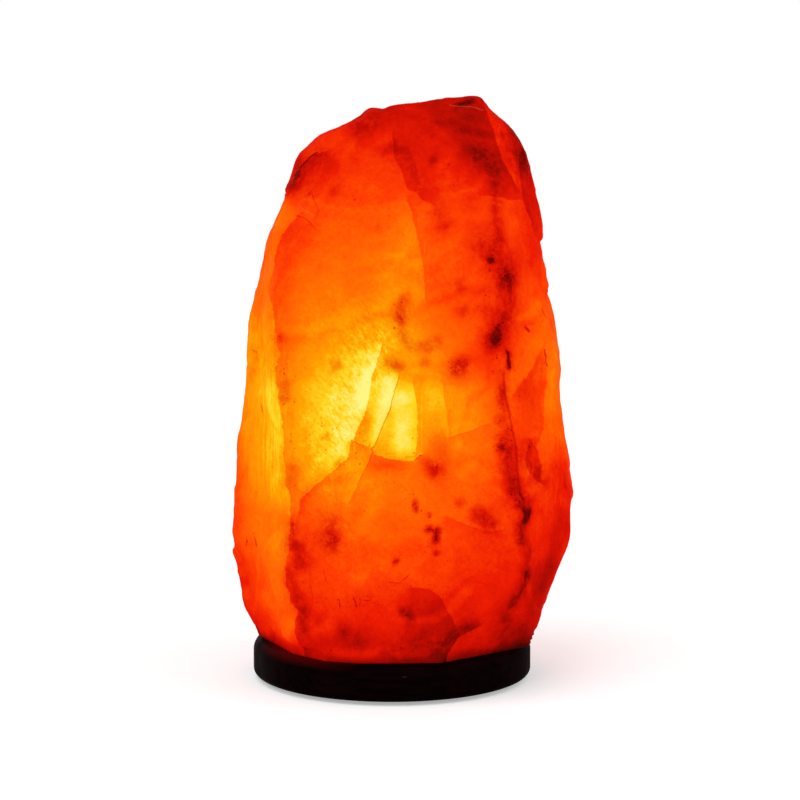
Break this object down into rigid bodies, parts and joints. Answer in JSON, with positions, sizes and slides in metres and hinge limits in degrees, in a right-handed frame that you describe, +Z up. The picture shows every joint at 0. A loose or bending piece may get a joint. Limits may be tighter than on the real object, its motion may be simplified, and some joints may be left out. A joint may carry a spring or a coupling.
{
  "type": "salt crystal lamp",
  "caption": "Rough-hewn rock salt lamp on a round dark wooden base, lit by a small screw-in bulb on a holder that clips up into its hollow.",
  "frame": {"origin": "on the table, under the middle of the crystal's outline", "axes": "+Z up, +Y towards the back where the cord channel leaves the base, +X to the right seen from the front"},
  "size_m": [0.1535, 0.1344, 0.259],
  "materials": {
    "rock_salt": "rough, waxy, translucent",
    "stained_wood": "satin",
    "zinc_steel": "zinc plated",
    "nylon": "matt",
    "rubber": "matt",
    "moulding": "moulded, semi-gloss",
    "brass": "pressed",
    "spring_steel": "blued spring steel",
    "clear_glass": "clear",
    "nickel_cap": "nickel plated",
    "black_glass": "glossy",
    "solder": "dull",
    "lead_wire": "drawn",
    "hot_tungsten": "glowing"
  },
  "bodies": {
    "lamp": {"salt_crystal": "rock_salt", "wood_base": "stained_wood", "base_screws": "zinc_steel", "screw_washers": "zinc_steel", "crystal_plugs": "nylon", "rubber_feet": "rubber", "foot_screws": "zinc_steel"},
    "holder": {"holder_body": "moulding", "holder_end_cap": "moulding", "holder_ring_nut": "moulding", "holder_thread_shell": "brass", "centre_contact": "brass", "live_terminal_plate": "brass", "neutral_terminal_plate": "brass", "contact_rivets": "brass", "terminal_screws": "brass", "clip_ring": "spring_steel"},
    "spring_arm_back": {"clip_arm_back": "spring_steel"},
    "spring_arm_left": {"clip_arm_left": "spring_steel"},
    "spring_arm_right": {"clip_arm_right": "spring_steel"},
    "bulb_tip": {"bulb_cap_contact": "solder"},
    "bulb": {"bulb_glass": "clear_glass", "bulb_stem": "clear_glass", "bulb_cap": "nickel_cap", "bulb_cap_insulator": "black_glass", "lead_wires": "lead_wire", "filament_support": "lead_wire", "filament": "hot_tungsten"}
  },
  "joints": [
    {"name": "holder_pull", "type": "slide", "parent": "lamp", "child": "holder", "axis": [0, 0, -1], "range_m": [0, 0.145]},
    {"name": "clip_flex_back", "type": "hinge", "parent": "holder", "child": "spring_arm_back", "pos_m": [-0.0045, 0.01505, 0.0868], "axis": [-1, 0, 0], "range_deg": [0, 6], "stiffness_Nm_per_rad": 0.2, "springref_deg": -4.58},
    {"name": "clip_flex_left", "type": "hinge", "parent": "holder", "child": "spring_arm_left", "pos_m": [-0.01753, -0.00752, 0.0868], "axis": [0.5, -0.866, 0], "range_deg": [0, 6], "stiffness_Nm_per_rad": 0.2, "springref_deg": -4.58},
    {"name": "clip_flex_right", "type": "hinge", "parent": "holder", "child": "spring_arm_right", "pos_m": [0.00853, -0.00752, 0.0868], "axis": [0.5, 0.866, 0], "range_deg": [0, 6], "stiffness_Nm_per_rad": 0.2, "springref_deg": -4.58},
    {"name": "bulb_rise", "type": "slide", "parent": "holder", "child": "bulb_tip", "axis": [0, 0, 1], "range_m": [0, 0.009]},
    {"name": "bulb_unscrew", "type": "hinge", "parent": "bulb_tip", "child": "bulb", "pos_m": [-0.0045, 0, 0.0848], "axis": [0, 0, 1], "range_deg": [0, 1260]}
  ],
  "couplings": [
    {"joint": "bulb_rise", "follows": "bulb_unscrew", "m_per_rad": 0.00040425}
  ]
}
